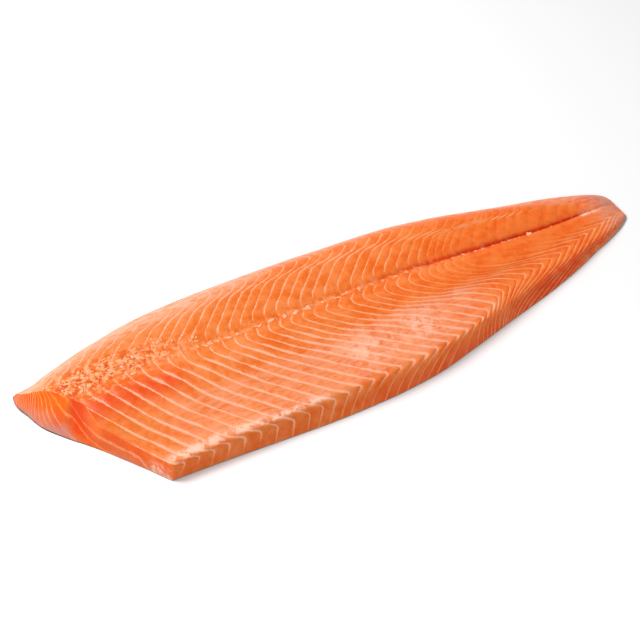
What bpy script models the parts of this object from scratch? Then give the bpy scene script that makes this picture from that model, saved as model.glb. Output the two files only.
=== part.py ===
# Raw salmon fillet: one whole side of a fish, lying on its skin.
#
# Frame: metres, +Z up. +X runs from the head end to the tail, +Y towards the back of the fish.
# The origin is the middle of the footprint, on the ground.
#
# flesh: the muscle, with the low relief of its segments, the furrow along the middle and the
#        slanting cut at the head end
# skin:  the thin layer that the flesh lies on, turned up along the back of the fish

import bmesh
import bpy
import numpy as np

MM = 0.001

# Thin layers
SKIN_THICKNESS = 0.9
LAYER_GAP = 0.3
SKIN_RIM = 1.1

# Lines plan: values in millimetres at stations along the fish, before the frame is centred
STATION = [-305, -277, -262, -245, -200, -150, -100, -50, 0, 50, 100, 150, 200, 225, 250, 270, 290,
           305, 316, 323, 327, 329.5]
BACK_Y = [29, 30.5, 31, 35.5, 48.5, 60, 65.5, 67.5, 68.3, 68.4, 67.6, 61.8, 52.5, 48, 45, 42, 37.5, 34,
          30, 25.5, 20.5, 13]
BACK_SQUARE = [0.7, 0.7, 0.74, 0.82, 0.92, 1, 1, 1, 1, 1, 1, 1, 1, 1, 1, 1, 1, 1, 1, 1, 1, 1]
BACK_Z = [6, 6.5, 7.5, 9, 10.5, 11.7, 12, 12, 12, 11.7, 11, 10, 9, 8.4, 7.7, 7, 5.8, 4.8, 4, 3.4, 3,
          2.6]
LOIN_Z = [15.5, 17, 19.8, 24.2, 31.4, 33.4, 34, 34, 34, 33.4, 32, 29.5, 25, 22.3, 19.1, 16, 13, 10.5,
          8, 6, 4.4, 3]
MIDDLE_Y = [-16, -14, -13, -12, -10, -12.5, -13.5, -11.5, -10, -7.5, -6, -6, -4, -2.3, 0, 2.8, 5.6,
            7.4, 8.8, 8.6, 7, 5]
MIDDLE_Z = [22, 25, 26.6, 28.4, 30.8, 31.4, 31.5, 31, 30, 28.3, 26, 23.5, 19.5, 17.1, 14.4, 12, 10,
            8.3, 6.8, 5.2, 4, 2.9]
CREST_Y = [-115, -115, -115, -115, -113.5, -111, -108.5, -107, -106.5, -101, -89, -73, -57, -49, -40.5,
           -33, -25.5, -18.5, -12.8, -8.8, -6, -2]
CREST_Z = [13, 13.2, 13.4, 13.6, 15, 17.5, 19, 19.4, 19.5, 19, 18, 16, 13.5, 12.3, 10.9, 9.5, 8, 6.5,
           5, 4, 3.2, 2.7]
BELLY_Y = [-117, -117, -116.5, -116, -115, -115.6, -117.2, -118.4, -116.8, -111, -97.5, -82, -67,
           -58.3, -48.5, -39.5, -31.2, -24, -18, -12.2, -7.8, -3]

# Outline of a section, as shares of the way from the back edge over the top to the belly edge: its
# knots between the back edge and the middle line, then between the middle line and the belly crest
SECTION_SHARE = [0, 0.05, 0.12, 0.22, 0.34, 0.42, 0.50, 0.62, 0.75, 0.87, 1.0]
LOIN_PLACE = [0.035, 0.16, 0.42, 0.78]
LOIN_RISE = [0.35, 0.74]
BELLY_PLACE = [0.16, 0.40, 0.70]
BELLY_FALL = [0.28, 0.70]
TURN_UP_FRONT = 0.38
TURN_UP_TAIL = 0.30

# Mesh columns over the top and round the underside
TOP_COLUMNS = [0, 0.025, 0.055, 0.09, 0.13, 0.17, 0.20, 0.225, 0.25, 0.28, 0.315, 0.35, 0.378, 0.393,
               0.405, 0.417, 0.432, 0.452, 0.48, 0.51, 0.545, 0.58, 0.615, 0.645, 0.675, 0.71, 0.75,
               0.785, 0.82, 0.85, 0.872, 0.892, 0.915, 0.945, 0.975, 1.0]
UNDER_COLUMNS = [0.25, 0.50, 0.62, 0.74, 0.85, 0.94]
FLAT_SHARE = 0.5

# Muscle segments: spacing of the white lines along the row at REFERENCE_SHARE
SPACING_X = [-400, -260, -200, -150, -100, -30, 0, 30, 80, 125, 150, 180, 220, 260, 300, 420]
SPACING = [11, 11.2, 12.7, 13, 14, 14.8, 15, 13, 12.4, 12.9, 10.4, 11.5, 12.3, 11.3, 10.6, 10]
REFERENCE_SHARE = 0.78
REFERENCE_X = -3.0
FIRST_LINE = -40
END_LINE = 45
ROWS_TO_A_LINE = 2
WALK_STEP = 0.005

# Lean of the white lines (millimetres along the fish for a whole section), at places along it
LEAN_X = [-300, -225, -150, -75, 0, 75, 110, 150, 185, 225, 260, 290, 330]
BACK_PINCH = [120, 200, 260, 300, 400, 480, 600, 650, 420, 150, 60, 40, 30]
BACK_PINCH_AT = [0.235, 0.235, 0.222, 0.215, 0.222, 0.236, 0.245, 0.252, 0.252, 0.25, 0.25, 0.25, 0.25]
LOIN_LEAN = [60, 110, 200, 210, 250, 240, 230, 170, 130, 90, 60, 50, 40]
MIDDLE_LEAN = [20, 30, 110, 130, 170, 210, 190, 120, 80, 60, 30, 20, 20]
BELLY_LEAN = [70, 105, 160, 170, 215, 215, 200, 190, 185, 165, 120, 60, 30]
LOWER_LEAN = [60, 90, 70, 60, 90, 70, 40, 20, 20, 20, 10, 0, 0]
BELLY_PINCH = [0, 0, 0, 20, 130, 230, 360, 430, 390, 360, 320, 180, 80]
BELLY_PINCH_AT = [0.66, 0.66, 0.66, 0.66, 0.645, 0.645, 0.65, 0.66, 0.67, 0.69, 0.695, 0.69, 0.68]
FOLD_AT = [0.93, 0.925, 0.92, 0.912, 0.885, 0.865, 0.86, 0.80, 0.785, 0.77, 0.75, 0.73, 0.71]
FOLD_LEAN = [30, 60, 110, 170, 190, 240, 190, 190, 380, 330, 230, 190, 150]

# Relief of the flesh
SEGMENT_GROOVE = 0.60
SEGMENT_BULGE = 0.35
FURROW_X = [-305, -220, -100, 0, 60, 110, 160, 210, 260, 285, 305, 330]
FURROW_DEPTH = [0.8, 1.0, 1.3, 1.8, 2.6, 3.8, 4.2, 4.0, 3.4, 2.2, 0.6, 0]
FURROW_SHARE = 0.405
FURROW_WIDTH = 0.012
RELIEF_FADE_TAIL = [2.0, 30.0]

# Ends
HEAD_STOCK_X = -302.0
FLESH_TAIL_X = 327.6
SKIN_TAIL_X = 329.2
ROW_SNAP = 1.4
SKIN_FINE_X = 280.0
SKIN_ROWS = 46
SKIN_TAIL_ROWS = 18

# Head cut: where the blade meets the ground across the fish, and how far it leans back with height
CUT_Y = [-140, -113, -89, -57, -42, -27, -10, 8, 25, 70]
CUT_X = [-177, -197, -211.5, -232.5, -243.5, -254.5, -265, -271.5, -278, -280]
CUT_LEAN = [0.15, 0.18, 0.18, 0.18, 0.42, 0.72, 0.78, 0.70, 0.64, 0.60]
SCOOP_DEPTH = 3.6
SCOOP_Y = -38.0
SCOOP_Z = 12.0
CUT_CROWN = 1.6
BLADE_LOW = [-140.0, -6.0]
BLADE_HIGH = [70.0, 54.0]
BLADE_FACES = [43, 9]
BLADE_BACK_X = -340.0

# Middle of the footprint, taken off so that the origin is at its centre
CENTRE_X = 26.8
CENTRE_Y = -25.0

FLESH_COLOUR = (0.86, 0.215, 0.062, 1.0)
SKIN_COLOUR = (0.33, 0.35, 0.36, 1.0)


def smooth_through(x, knots, values):
    """Monotone curve through the values; values may hold one column for each x."""
    knots = np.asarray(knots, float)
    values = np.asarray(values, float)
    x = np.asarray(x, float)
    if values.ndim == 1:
        values = values[:, None]
    wide = values.shape[1] > 1
    step = np.diff(knots)[:, None]
    rise = np.diff(values, axis=0) / step
    slope = np.zeros_like(values)
    before = rise[:-1]
    after = rise[1:]
    weight_a = 2 * step[1:] + step[:-1]
    weight_b = step[1:] + 2 * step[:-1]
    same = before * after > 0
    safe_before = np.where(same, before, 1.0)
    safe_after = np.where(same, after, 1.0)
    mean = (weight_a + weight_b) / (weight_a / safe_before + weight_b / safe_after)
    slope[1:-1] = np.where(same, mean, 0.0)
    slope[0] = rise[0]
    slope[-1] = rise[-1]
    part = np.clip(np.searchsorted(knots, x, side="right") - 1, 0, len(knots) - 2)
    t = np.clip((x - knots[part]) / step[part, 0], 0.0, 1.0)
    column = np.arange(x.size) if wide else np.zeros(x.size, int)
    y0 = values[part, column]
    y1 = values[part + 1, column]
    m0 = slope[part, column] * step[part, 0]
    m1 = slope[part + 1, column] * step[part, 0]
    t2 = t * t
    t3 = t2 * t
    return (2 * t3 - 3 * t2 + 1) * y0 + (t3 - 2 * t2 + t) * m0 + (3 * t2 - 2 * t3) * y1 + (t3 - t2) * m1


def bell(x, centre, width):
    return np.exp(-(((x - centre) / width) ** 2))


def ramp(x, start, end):
    t = np.clip((x - start) / (end - start), 0.0, 1.0)
    return t * t * (3 - 2 * t)


def along(x, values):
    """Lines plan value at x."""
    return smooth_through(x, STATION, values)


def line_lean(share, x):
    """How far a white line runs along the fish for each step across it."""
    def at(values):
        return np.interp(x, LEAN_X, values)

    fold = at(FOLD_AT)
    top = -at(BACK_PINCH) * bell(share, at(BACK_PINCH_AT), 0.020)
    top = top - at(LOIN_LEAN) * (ramp(share, 0.12, 0.20) - ramp(share, 0.33, 0.40))
    top = top - at(MIDDLE_LEAN) * bell(share, 0.442, 0.030)
    top = top + at(BELLY_LEAN) * ramp(share, 0.48, 0.56)
    top = top + at(LOWER_LEAN) * ramp(share, 0.62, 0.76)
    top = top + at(BELLY_PINCH) * bell(share, at(BELLY_PINCH_AT), 0.040)
    side = -at(FOLD_LEAN) * (1 - 0.45 * ramp(share, fold + 0.06, fold + 0.14))
    folded = ramp(share, fold - 0.010, fold + 0.010)
    return top * (1 - folded) + side * folded


def line_places(numbers, shares):
    """x of each white line at each share of the section, walked from the reference row."""
    x = np.arange(-400.0, 420.5, 0.5)
    spacing = np.interp(x, SPACING_X, SPACING)
    count = np.concatenate([[0.0], np.cumsum(0.5 * (1 / spacing[1:] + 1 / spacing[:-1]) * np.diff(x))])
    count = count - np.interp(REFERENCE_X, x, count)
    start = np.interp(numbers, count, x)
    step = WALK_STEP
    grid = np.arange(0.0, 1.0 + step / 2, step)
    first = int(round(REFERENCE_SHARE / step))
    walked = np.zeros((len(grid), len(numbers)))
    walked[first] = start
    for i in range(first, len(grid) - 1):
        middle = walked[i] + 0.5 * step * line_lean(grid[i], walked[i])
        walked[i + 1] = walked[i] + step * line_lean(grid[i] + 0.5 * step, middle)
    for i in range(first, 0, -1):
        middle = walked[i] - 0.5 * step * line_lean(grid[i], walked[i])
        walked[i - 1] = walked[i] - step * line_lean(grid[i] - 0.5 * step, middle)
    return np.array([np.interp(shares, grid, walked[:, k]) for k in range(len(numbers))])


def top_point(x, share):
    """Point on the upper face of the flesh, without its relief."""
    under = SKIN_THICKNESS + LAYER_GAP
    back_y = along(x, BACK_Y)
    back_z = along(x, BACK_Z)
    loin_z = along(x, LOIN_Z)
    square = along(x, BACK_SQUARE)
    middle_y = along(x, MIDDLE_Y)
    middle_z = along(x, MIDDLE_Z)
    crest_y = along(x, CREST_Y)
    crest_z = along(x, CREST_Z)
    belly_y = along(x, BELLY_Y)
    loin = back_y - middle_y
    belly = middle_y - crest_y
    knots_y = [back_y - under]
    knots_y += [back_y - place * loin for place in LOIN_PLACE]
    knots_y += [middle_y]
    knots_y += [middle_y - place * belly for place in BELLY_PLACE]
    knots_y += [crest_y, belly_y]
    knots_z = [back_z]
    knots_z += [back_z + rise * square * (loin_z - back_z) for rise in LOIN_RISE]
    knots_z += [loin_z, 0.35 * loin_z + 0.65 * middle_z + 0.3, middle_z - 0.8, middle_z - 0.2]
    knots_z += [middle_z + fall * (crest_z - middle_z) for fall in BELLY_FALL]
    knots_z += [crest_z, np.full_like(x, under)]
    y = smooth_through(share, SECTION_SHARE, np.array(knots_y))
    z = smooth_through(share, SECTION_SHARE, np.array(knots_z))
    return np.stack([x, y, z], axis=1)


def under_point(x, share, inset, rim):
    """Point on the underside, inset from the outer skin: flat from the belly, then turned up at the back."""
    back_y = along(x, BACK_Y) + rim
    back_z = along(x, BACK_Z)
    belly_y = along(x, BELLY_Y) - rim
    turn_up = TURN_UP_FRONT + (TURN_UP_TAIL - TURN_UP_FRONT) * ramp(x, 200, 420)
    turn_y = back_y - turn_up * (back_y - belly_y)
    angle = np.clip((share - FLAT_SHARE) / (1 - FLAT_SHARE), 0.0, 1.0) * (np.pi / 2)
    flat_y = belly_y + (turn_y - belly_y) * np.clip(share / FLAT_SHARE, 0.0, 1.0)
    y = np.where(share <= FLAT_SHARE, flat_y, turn_y + (back_y - turn_y - inset) * np.sin(angle))
    z = np.where(share <= FLAT_SHARE, inset, back_z - (back_z - inset) * np.cos(angle))
    return np.stack([x, y, z], axis=1)


def surface_normal(x, share):
    """Outward direction of the upper face."""
    step_x = top_point(x + 0.5, share) - top_point(x - 0.5, share)
    step_s = top_point(x, np.clip(share + 0.004, 0, 1)) - top_point(x, np.clip(share - 0.004, 0, 1))
    normal = np.cross(step_s, step_x)
    length = np.linalg.norm(normal, axis=1, keepdims=True)
    return normal / np.maximum(length, 1e-9)


def furrow(x, share):
    """Depth of the furrow along the middle of the fillet."""
    depth = np.interp(x, FURROW_X, FURROW_DEPTH)
    return depth * bell(share, FURROW_SHARE, FURROW_WIDTH)


def centred(points):
    return (points - np.array([CENTRE_X, CENTRE_Y, 0.0])) * MM


def relief(numbers, x, share):
    """Height of the segments' swell between the white lines, which lie in shallow grooves."""
    between = 0.5 - 0.5 * np.cos(2 * np.pi * numbers)
    height = -SEGMENT_GROOVE + (SEGMENT_GROOVE + SEGMENT_BULGE) * between
    height = height * ramp(share, 0.03, 0.20) * ramp(1 - share, 0.0, 0.08)
    height = height * (1 - 0.6 * bell(share, FURROW_SHARE, 0.05))
    return height * ramp(FLESH_TAIL_X - x, *RELIEF_FADE_TAIL)


def flesh_rows():
    """x of each point of the flesh table: rows follow the white lines, and stop at both ends."""
    numbers = np.arange(FIRST_LINE, END_LINE, 1.0 / ROWS_TO_A_LINE)
    top_x = line_places(numbers, np.array(TOP_COLUMNS))
    under = np.array(UNDER_COLUMNS + [1.0])
    under_x = top_x[:, -1:] * (1 - under) + top_x[:, :1] * under
    x = np.concatenate([top_x, under_x], axis=1)
    x = np.where(x < HEAD_STOCK_X + ROW_SNAP, HEAD_STOCK_X, x)
    x = np.where(x > FLESH_TAIL_X - ROW_SNAP, FLESH_TAIL_X, x)
    used = (x.max(axis=1) > HEAD_STOCK_X) & (x.min(axis=1) < FLESH_TAIL_X)
    first = int(np.argmax(used)) - 1
    last = len(used) - int(np.argmax(used[::-1])) + 1
    return numbers[first:last], x[first:last]


def flesh_points():
    """Table of flesh points: columns go over the top and back along the underside."""
    numbers, x = flesh_rows()
    rows = x.shape[0]
    table = []
    for j, share in enumerate(TOP_COLUMNS):
        shares = np.full(rows, share)
        height = relief(numbers, x[:, j], shares) - furrow(x[:, j], shares)
        table.append(top_point(x[:, j], shares) + surface_normal(x[:, j], shares) * height[:, None])
    for j, share in enumerate(UNDER_COLUMNS, len(TOP_COLUMNS)):
        table.append(under_point(x[:, j], np.full(rows, share), SKIN_THICKNESS + LAYER_GAP, 0.0))
    table.append(table[0])
    return np.stack(table, axis=1)


def skin_points():
    """Table of skin points: out along the underside and back along the face that touches the flesh."""
    body_x = np.linspace(HEAD_STOCK_X, SKIN_FINE_X, SKIN_ROWS, endpoint=False)
    tail_share = np.linspace(0.0, 1.0, SKIN_TAIL_ROWS)
    tail_x = SKIN_FINE_X + (SKIN_TAIL_X - SKIN_FINE_X) * (1 - (1 - tail_share) ** 1.6)
    x = np.concatenate([body_x, tail_x])
    shares = np.array([0.0] + UNDER_COLUMNS + [1.0])
    rim = SKIN_RIM * ramp(x, 270, 320)
    table = []
    for share in shares:
        table.append(under_point(x, np.full_like(x, share), 0.0, rim))
    for share in shares[::-1]:
        table.append(under_point(x, np.full_like(x, share), SKIN_THICKNESS, rim))
    table.append(table[0])
    return np.stack(table, axis=1)


def sheet(name, table):
    """Closed tube over a table of points, with a flat face at each end."""
    rows, columns = table.shape[:2]
    bm = bmesh.new()
    bmesh.ops.create_grid(bm, x_segments=rows - 1, y_segments=columns - 1, size=0.5)
    places = centred(table.reshape(-1, 3)).reshape(table.shape)
    for vertex in bm.verts:
        row = int(round((vertex.co.x + 0.5) * (rows - 1)))
        column = int(round((vertex.co.y + 0.5) * (columns - 1)))
        vertex.co = places[row, column]
    bmesh.ops.remove_doubles(bm, verts=bm.verts, dist=0.00002)
    rims = [edge for edge in bm.edges if edge.is_boundary]
    bmesh.ops.holes_fill(bm, edges=rims, sides=0)
    bmesh.ops.recalc_face_normals(bm, faces=bm.faces)
    mesh = bpy.data.meshes.new(name)
    bm.to_mesh(mesh)
    bm.free()
    body = bpy.data.objects.new(name, mesh)
    bpy.context.scene.collection.objects.link(body)
    return body


def cut_place(y, z):
    """x of the blade's face at a place across and above the ground."""
    place = smooth_through(y, CUT_Y, CUT_X) + z * smooth_through(y, CUT_Y, CUT_LEAN)
    place = place + SCOOP_DEPTH * bell(y, SCOOP_Y, 9.0) * bell(z, SCOOP_Z, 9.0)
    return place - CUT_CROWN * bell(y, -2.0, 15.0) * bell(z, 10.0, 8.0)


def blade():
    """Block in front of the head cut; its curved face is the cut."""
    across, up = BLADE_FACES
    bm = bmesh.new()
    bmesh.ops.create_grid(bm, x_segments=across, y_segments=up, size=0.5)
    front = list(bm.faces)
    made = bmesh.ops.extrude_face_region(bm, geom=front, use_keep_orig=True)
    pushed = {item for item in made["geom"] if isinstance(item, bmesh.types.BMVert)}
    low = np.array(BLADE_LOW)
    high = np.array(BLADE_HIGH)
    for vertex in bm.verts:
        share = np.array([vertex.co.x + 0.5, vertex.co.y + 0.5])
        y, z = low + (high - low) * share
        face_x = float(cut_place(np.array([y]), np.array([z]))[0])
        x = BLADE_BACK_X if vertex in pushed else face_x
        vertex.co = centred(np.array([[x, y, z]]))[0]
    bmesh.ops.recalc_face_normals(bm, faces=bm.faces)
    mesh = bpy.data.meshes.new("head_blade")
    bm.to_mesh(mesh)
    bm.free()
    cutter = bpy.data.objects.new("head_blade", mesh)
    bpy.context.scene.collection.objects.link(cutter)
    cutter.hide_render = True
    cutter.display_type = "WIRE"
    return cutter


def cut_head(body, cutter):
    cut = body.modifiers.new("head_cut", "BOOLEAN")
    cut.operation = "DIFFERENCE"
    cut.solver = "EXACT"
    cut.object = cutter


def material(name, colour, roughness):
    mat = bpy.data.materials.new(name)
    mat.use_nodes = True
    shader = mat.node_tree.nodes["Principled BSDF"]
    shader.inputs["Base Color"].default_value = colour
    shader.inputs["Roughness"].default_value = roughness
    shader.inputs["Metallic"].default_value = 0.0
    return mat


def build():
    for old in list(bpy.data.objects):
        bpy.data.objects.remove(old, do_unlink=True)
    cutter = blade()
    flesh = sheet("flesh", flesh_points())
    flesh.data.materials.append(material("raw_flesh", FLESH_COLOUR, 0.32))
    skin = sheet("skin", skin_points())
    skin.data.materials.append(material("fish_skin", SKIN_COLOUR, 0.38))
    for body in (flesh, skin):
        body.data.shade_smooth()
        body.data.set_sharp_from_angle(angle=0.7)
        cut_head(body, cutter)


build()
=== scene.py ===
# Raw salmon fillet: the looks of the flesh and the skin, seen from the photograph's viewing angle.
#
# The form is the one of the solids, with a slightly fuller tail end and a closer plan of the white
# lines. It carries a fine mesh, whose first UV map holds the number of the white line (across) and
# the share of the section (up), so that each pattern follows the muscle segments. Lengths are in
# millimetres until a mesh is placed.

import math

import bmesh
import bpy
import numpy as np
from mathutils import Matrix, Vector


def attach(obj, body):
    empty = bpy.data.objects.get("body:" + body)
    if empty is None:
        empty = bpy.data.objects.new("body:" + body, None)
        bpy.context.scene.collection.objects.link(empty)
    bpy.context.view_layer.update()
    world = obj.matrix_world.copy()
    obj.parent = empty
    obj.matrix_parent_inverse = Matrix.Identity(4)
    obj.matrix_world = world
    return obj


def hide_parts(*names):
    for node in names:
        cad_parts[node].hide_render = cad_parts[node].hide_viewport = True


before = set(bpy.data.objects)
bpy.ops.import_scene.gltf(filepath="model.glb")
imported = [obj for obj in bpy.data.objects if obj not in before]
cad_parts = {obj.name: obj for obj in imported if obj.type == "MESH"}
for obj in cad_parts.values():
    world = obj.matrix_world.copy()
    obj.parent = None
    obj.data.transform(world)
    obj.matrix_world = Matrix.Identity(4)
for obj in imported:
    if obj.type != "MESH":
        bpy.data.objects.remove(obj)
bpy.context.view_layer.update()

MM = 0.001

# Thin layers
SKIN_THICKNESS = 0.9
LAYER_GAP = 0.05
SKIN_RIM = 1.1

# Lines plan: values in millimetres at stations along the fish, before the frame is centred
STATION = [-305, -277, -262, -245, -200, -150, -100, -50, 0, 50, 100, 150, 200, 225, 250, 270, 290, 305, 316,
           323, 327, 329.5]
BACK_Y = [29, 30.5, 31, 35.5, 48.5, 60, 65.5, 67.5, 68.3, 68.4, 67.6, 61.8, 52.5, 48, 45, 42, 37.5, 34, 31,
          27.5, 23.5, 15]
BACK_SQUARE = [0.7, 0.7, 0.74, 0.82, 0.92, 1, 1, 1, 1, 1, 1, 1, 1, 1, 1, 1, 1, 1, 1, 1, 1, 1]
BACK_Z = [6, 6.5, 7.5, 9, 10.5, 11.7, 12, 12, 12, 11.7, 11, 10, 9, 8.4, 7.7, 7, 5.8, 4.8, 4, 3.4, 3, 2.6]
LOIN_Z = [15.5, 17, 19.8, 24.2, 31.4, 33.4, 34, 34, 34, 33.4, 32, 29.5, 25, 22.3, 19.1, 16, 13, 10.5, 8, 6,
          4.4, 3]
MIDDLE_Y = [-16, -14, -13, -12, -10, -12.5, -13.5, -11.5, -10, -7.5, -6, -6, -4, -2.3, 0, 2.8, 5.6, 7.4, 8.8,
            8.6, 7, 5]
MIDDLE_Z = [22, 25, 26.6, 28.4, 30.8, 31.4, 31.5, 31, 30, 28.3, 26, 23.5, 19.5, 17.1, 14.4, 12, 10, 8.3, 6.8,
            5.2, 4, 2.9]
CREST_Y = [-115, -115, -115, -115, -113.5, -111, -108.5, -107, -106.5, -101, -89, -73, -57, -49, -40.5, -33,
           -25.5, -18.5, -12.8, -8.8, -6, -2]
CREST_Z = [13, 13.2, 13.4, 13.6, 15, 17.5, 19, 19.4, 19.5, 19, 18, 16, 13.5, 12.3, 10.9, 9.5, 8, 6.5, 5, 4,
           3.2, 2.7]
BELLY_Y = [-117, -117, -116.5, -116, -115, -115.6, -117.2, -118.4, -116.8, -111, -97.5, -82, -67, -58.3,
           -48.5, -39.5, -31.2, -24, -18, -13.2, -9.8, -5]

# Outline of a section, as shares of the way from the back edge over the top to the belly edge: its
# knots between the back edge and the middle line, then between the middle line and the belly crest
SECTION_SHARE = [0, 0.05, 0.12, 0.22, 0.34, 0.42, 0.50, 0.62, 0.75, 0.87, 1.0]
LOIN_PLACE = [0.035, 0.16, 0.42, 0.78]
LOIN_RISE = [0.35, 0.74]
BELLY_PLACE = [0.16, 0.40, 0.70]
BELLY_FALL = [0.28, 0.70]
TURN_UP_FRONT = 0.38
TURN_UP_TAIL = 0.30
FLAT_SHARE = 0.5

# Muscle segments: spacing of the white lines along the row at REFERENCE_SHARE
SPACING_X = [-400, -260, -200, -150, -100, -30, 0, 30, 80, 125, 150, 180, 220, 260, 300, 420]
SPACING = [11, 11.5, 12.2, 13.2, 14, 14.3, 14.6, 13, 12.4, 13.2, 10.4, 11.4, 12.3, 11.1, 11.5, 11.3]
REFERENCE_SHARE = 0.78
REFERENCE_X = -3.0
FIRST_LINE = -40
END_LINE = 45
WALK_STEP = 0.005

# Lean of the white lines (millimetres along the fish for a whole section), at places along it. From
# the back edge down: the turn at the edge, the pinch of the row near it, the loin, the bend at the
# middle line, the belly from BELLY_FROM on with its calm stretch towards the tail, its lower part
# and its pinch, then the fold at FOLD_AT and the side below it, which leans more from EDGE_AT on
LEAN_X = [-300, -225, -150, -75, 0, 75, 110, 150, 185, 225, 260, 290, 330]
BACK_PINCH = [170, 250, 312, 342, 653, 670, 792, 910, 590, 240, 175, 76, 0]
BACK_PINCH_AT = [0.235, 0.24, 0.23, 0.222, 0.224, 0.24, 0.254, 0.263, 0.249, 0.25, 0.25, 0.25, 0.25]
BACK_TURN = [0, 0, 0, 90, 260, 300, 300, 280, 200, 120, 0, 0, 0]
LOIN_LEAN = [60, 116, 250, 222, 238, 240, 205, 188, 130, 90, 98, 88, 40]
MIDDLE_LEAN = [0, 0, 0, 70, 192, 225, 175, 135, 104, 60, 6, 20, 41]
BELLY_LEAN = [78, 105, 145, 170, 215, 215, 200, 190, 195, 175, 120, 90, 20]
BELLY_FROM = [0.42, 0.442, 0.444, 0.448, 0.454, 0.48, 0.48, 0.488, 0.48, 0.48, 0.48, 0.48, 0.48]
CALM_LEAN = [0, 0, 0, 0, 0, 0, 0, 50, 180, 290, 390, 450, 400]
LOWER_LEAN = [102, 85, 60, 60, 90, 50, 20, 20, 20, 4, -10, -30, -66]
BELLY_PINCH = [128, 40, -40, 20, 160, 282, 360, 430, 430, 380, 320, 252, 80]
BELLY_PINCH_AT = [0.648, 0.618, 0.606, 0.654, 0.648, 0.645, 0.662, 0.66, 0.67, 0.696, 0.687, 0.68, 0.68]
FOLD_AT = [0.882, 0.894, 0.91, 0.927, 0.865, 0.865, 0.86, 0.793, 0.777, 0.78, 0.75, 0.74, 0.71]
FOLD_LEAN = [123, 99, 59, 104, 190, 210, 130, 199, 290, 228, 215, 190, 190]
EDGE_LEAN = [0, 0, 0, -30, 0, 90, -42, 0, 250, 282, 362, 562, 750]
EDGE_AT = [0.85, 0.85, 0.85, 0.85, 0.85, 0.865, 0.855, 0.807, 0.79, 0.835, 0.887, 0.9, 0.903]

# Relief of the flesh
SEGMENT_GROOVE = 0.50
SEGMENT_BULGE = 0.30
LOIN_CALM = 0.45
FURROW_X = [-305, -220, -100, 0, 60, 110, 160, 210, 260, 285, 305, 330]
FURROW_DEPTH = [0.3, 0.3, 0.5, 0.7, 1.3, 2.2, 2.8, 3.2, 3.2, 2.2, 0.6, 0]
FURROW_SHARE = 0.405
FURROW_WIDTH = 0.0085
FURROW_BANK = 0.022
RELIEF_FADE_TAIL = [2.0, 30.0]
SWELL_HEIGHT = 0.45
SWELL_SIZE = 30.0
DIMPLE_HEIGHT = 0.16
DIMPLE_SIZE = 6.0
TORN_HEIGHT = 0.55
TORN_SIZE = 2.6

# White tufts in the furrow, one or two on each line: their place along the fish and their size
TUFT_SHARE = 0.420
TUFT_X = [-113, -105, -95, -88, -66, -55, -42, -30, -17, -2, 12, 22, 36, 48, 60, 73, 85, 98, 110, 122,
          133, 145, 158, 165, 177, 190, 196, 207, 220, 246]
TUFT_SIZE = [1.0, 0.8, 1.1, 0.9, 1.0, 1.2, 1.1, 1.2, 1.5, 1.0, 1.0, 0.9, 0.9, 0.7, 0.5, 0.65, 0.65, 0.6,
             0.4, 0.45, 0.65, 0.65, 0.75, 0.65, 0.45, 0.65, 0.75, 0.45, 1.35, 0.4]
TORN_FLAKES = 160
FLAKE_HALF = np.array([1.5, 0.75, 0.25])

# Ends
HEAD_STOCK_X = -302.0
FLESH_TAIL_X = 327.6
SKIN_TAIL_X = 329.2
ROW_SNAP = 0.8

# Head cut: where the blade meets the ground across the fish, and how far it leans back with height
CUT_Y = [-140, -113, -89, -57, -42, -27, -10, 8, 25, 70]
CUT_X = [-177, -197, -211.5, -232.5, -243.5, -254.5, -265, -271.5, -278, -280]
CUT_LEAN = [0.15, 0.18, 0.18, 0.18, 0.42, 0.72, 0.78, 0.70, 0.64, 0.60]
SCOOP_DEPTH = 2.8
SCOOP_START = [-16.0, 12.0, 12.0]
SCOOP_RIM = [-1.0, 3.0]
SCOOP_END = [11.0, 40.0]
SCOOP_Z = 13.0
SCOOP_HALF = 9.5
SCOOP_TOP = 25.0
CUT_CROWN = 1.6
CROWN_Y = [-2.0, 15.0]
CROWN_Z = [10.0, 8.0]
BLADE_LOW = [-128.0, -4.0]
BLADE_HIGH = [44.0, 44.0]
BLADE_FACES = [170, 46]
BLADE_BACK_X = -340.0

# Lines on the face of the head cut, counted from the back edge towards the belly: y where each
# meets the skin and the top edge, and how strongly it bends on the way up
FACE_FOOT_Y = [30, 20, 15, 12, 10, 7.5, 5, 1.5, -10, -24, -31, -41, -67, -97]
FACE_HEAD_Y = [40, 31, 28, 25, 22.5, 19.5, 16.5, 14, 12.5, 11, 8, 6, 4, -8]
FACE_BEND = [1, 1, 1, 1.05, 1.1, 1.1, 1.2, 1.3, 1.5, 1.7, 1.6, 1.5, 1.25, 1.0]
FACE_SHELF = 0.5
FACE_DENSE = [9.0, 1.45]
FACE_STATIONS = 45
FACE_GROOVE = 0.28
FACE_SWELL = 0.22
FACE_SWELL_SIZE = 7.0
FACE_DIMPLE = 0.10
FACE_DIMPLE_SIZE = 2.4

# Mesh density
LINE_STEPS = [0.0, 0.055, 0.12, 0.20, 0.30, 0.42, 0.58, 0.70, 0.80, 0.88, 0.945]
TOP_COLUMNS = 138
UNDER_COLUMNS = [0.16, 0.33, 0.5, 0.6, 0.7, 0.8, 0.9]
SKIN_ROWS = 506
SKIN_COLUMNS = 141
SKIN_INNER_COLUMNS = 16
SCALE_ROWS = 4
SCALE_COLUMNS = 3
SCALE_HEIGHT = 0.16
WELD = 0.00001
SHARP_ANGLE = 0.9

# UV maps: what the width of a map stands for, and the share that marks the hidden faces
NUMBER_RANGE = 100.0
SPACING_RANGE = 40.0
HIDDEN_SHARE = 1.2
HIDDEN_SPACING = 10.0
SKIN_MAP_START = -305
SKIN_MAP_LENGTH = 640

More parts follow.
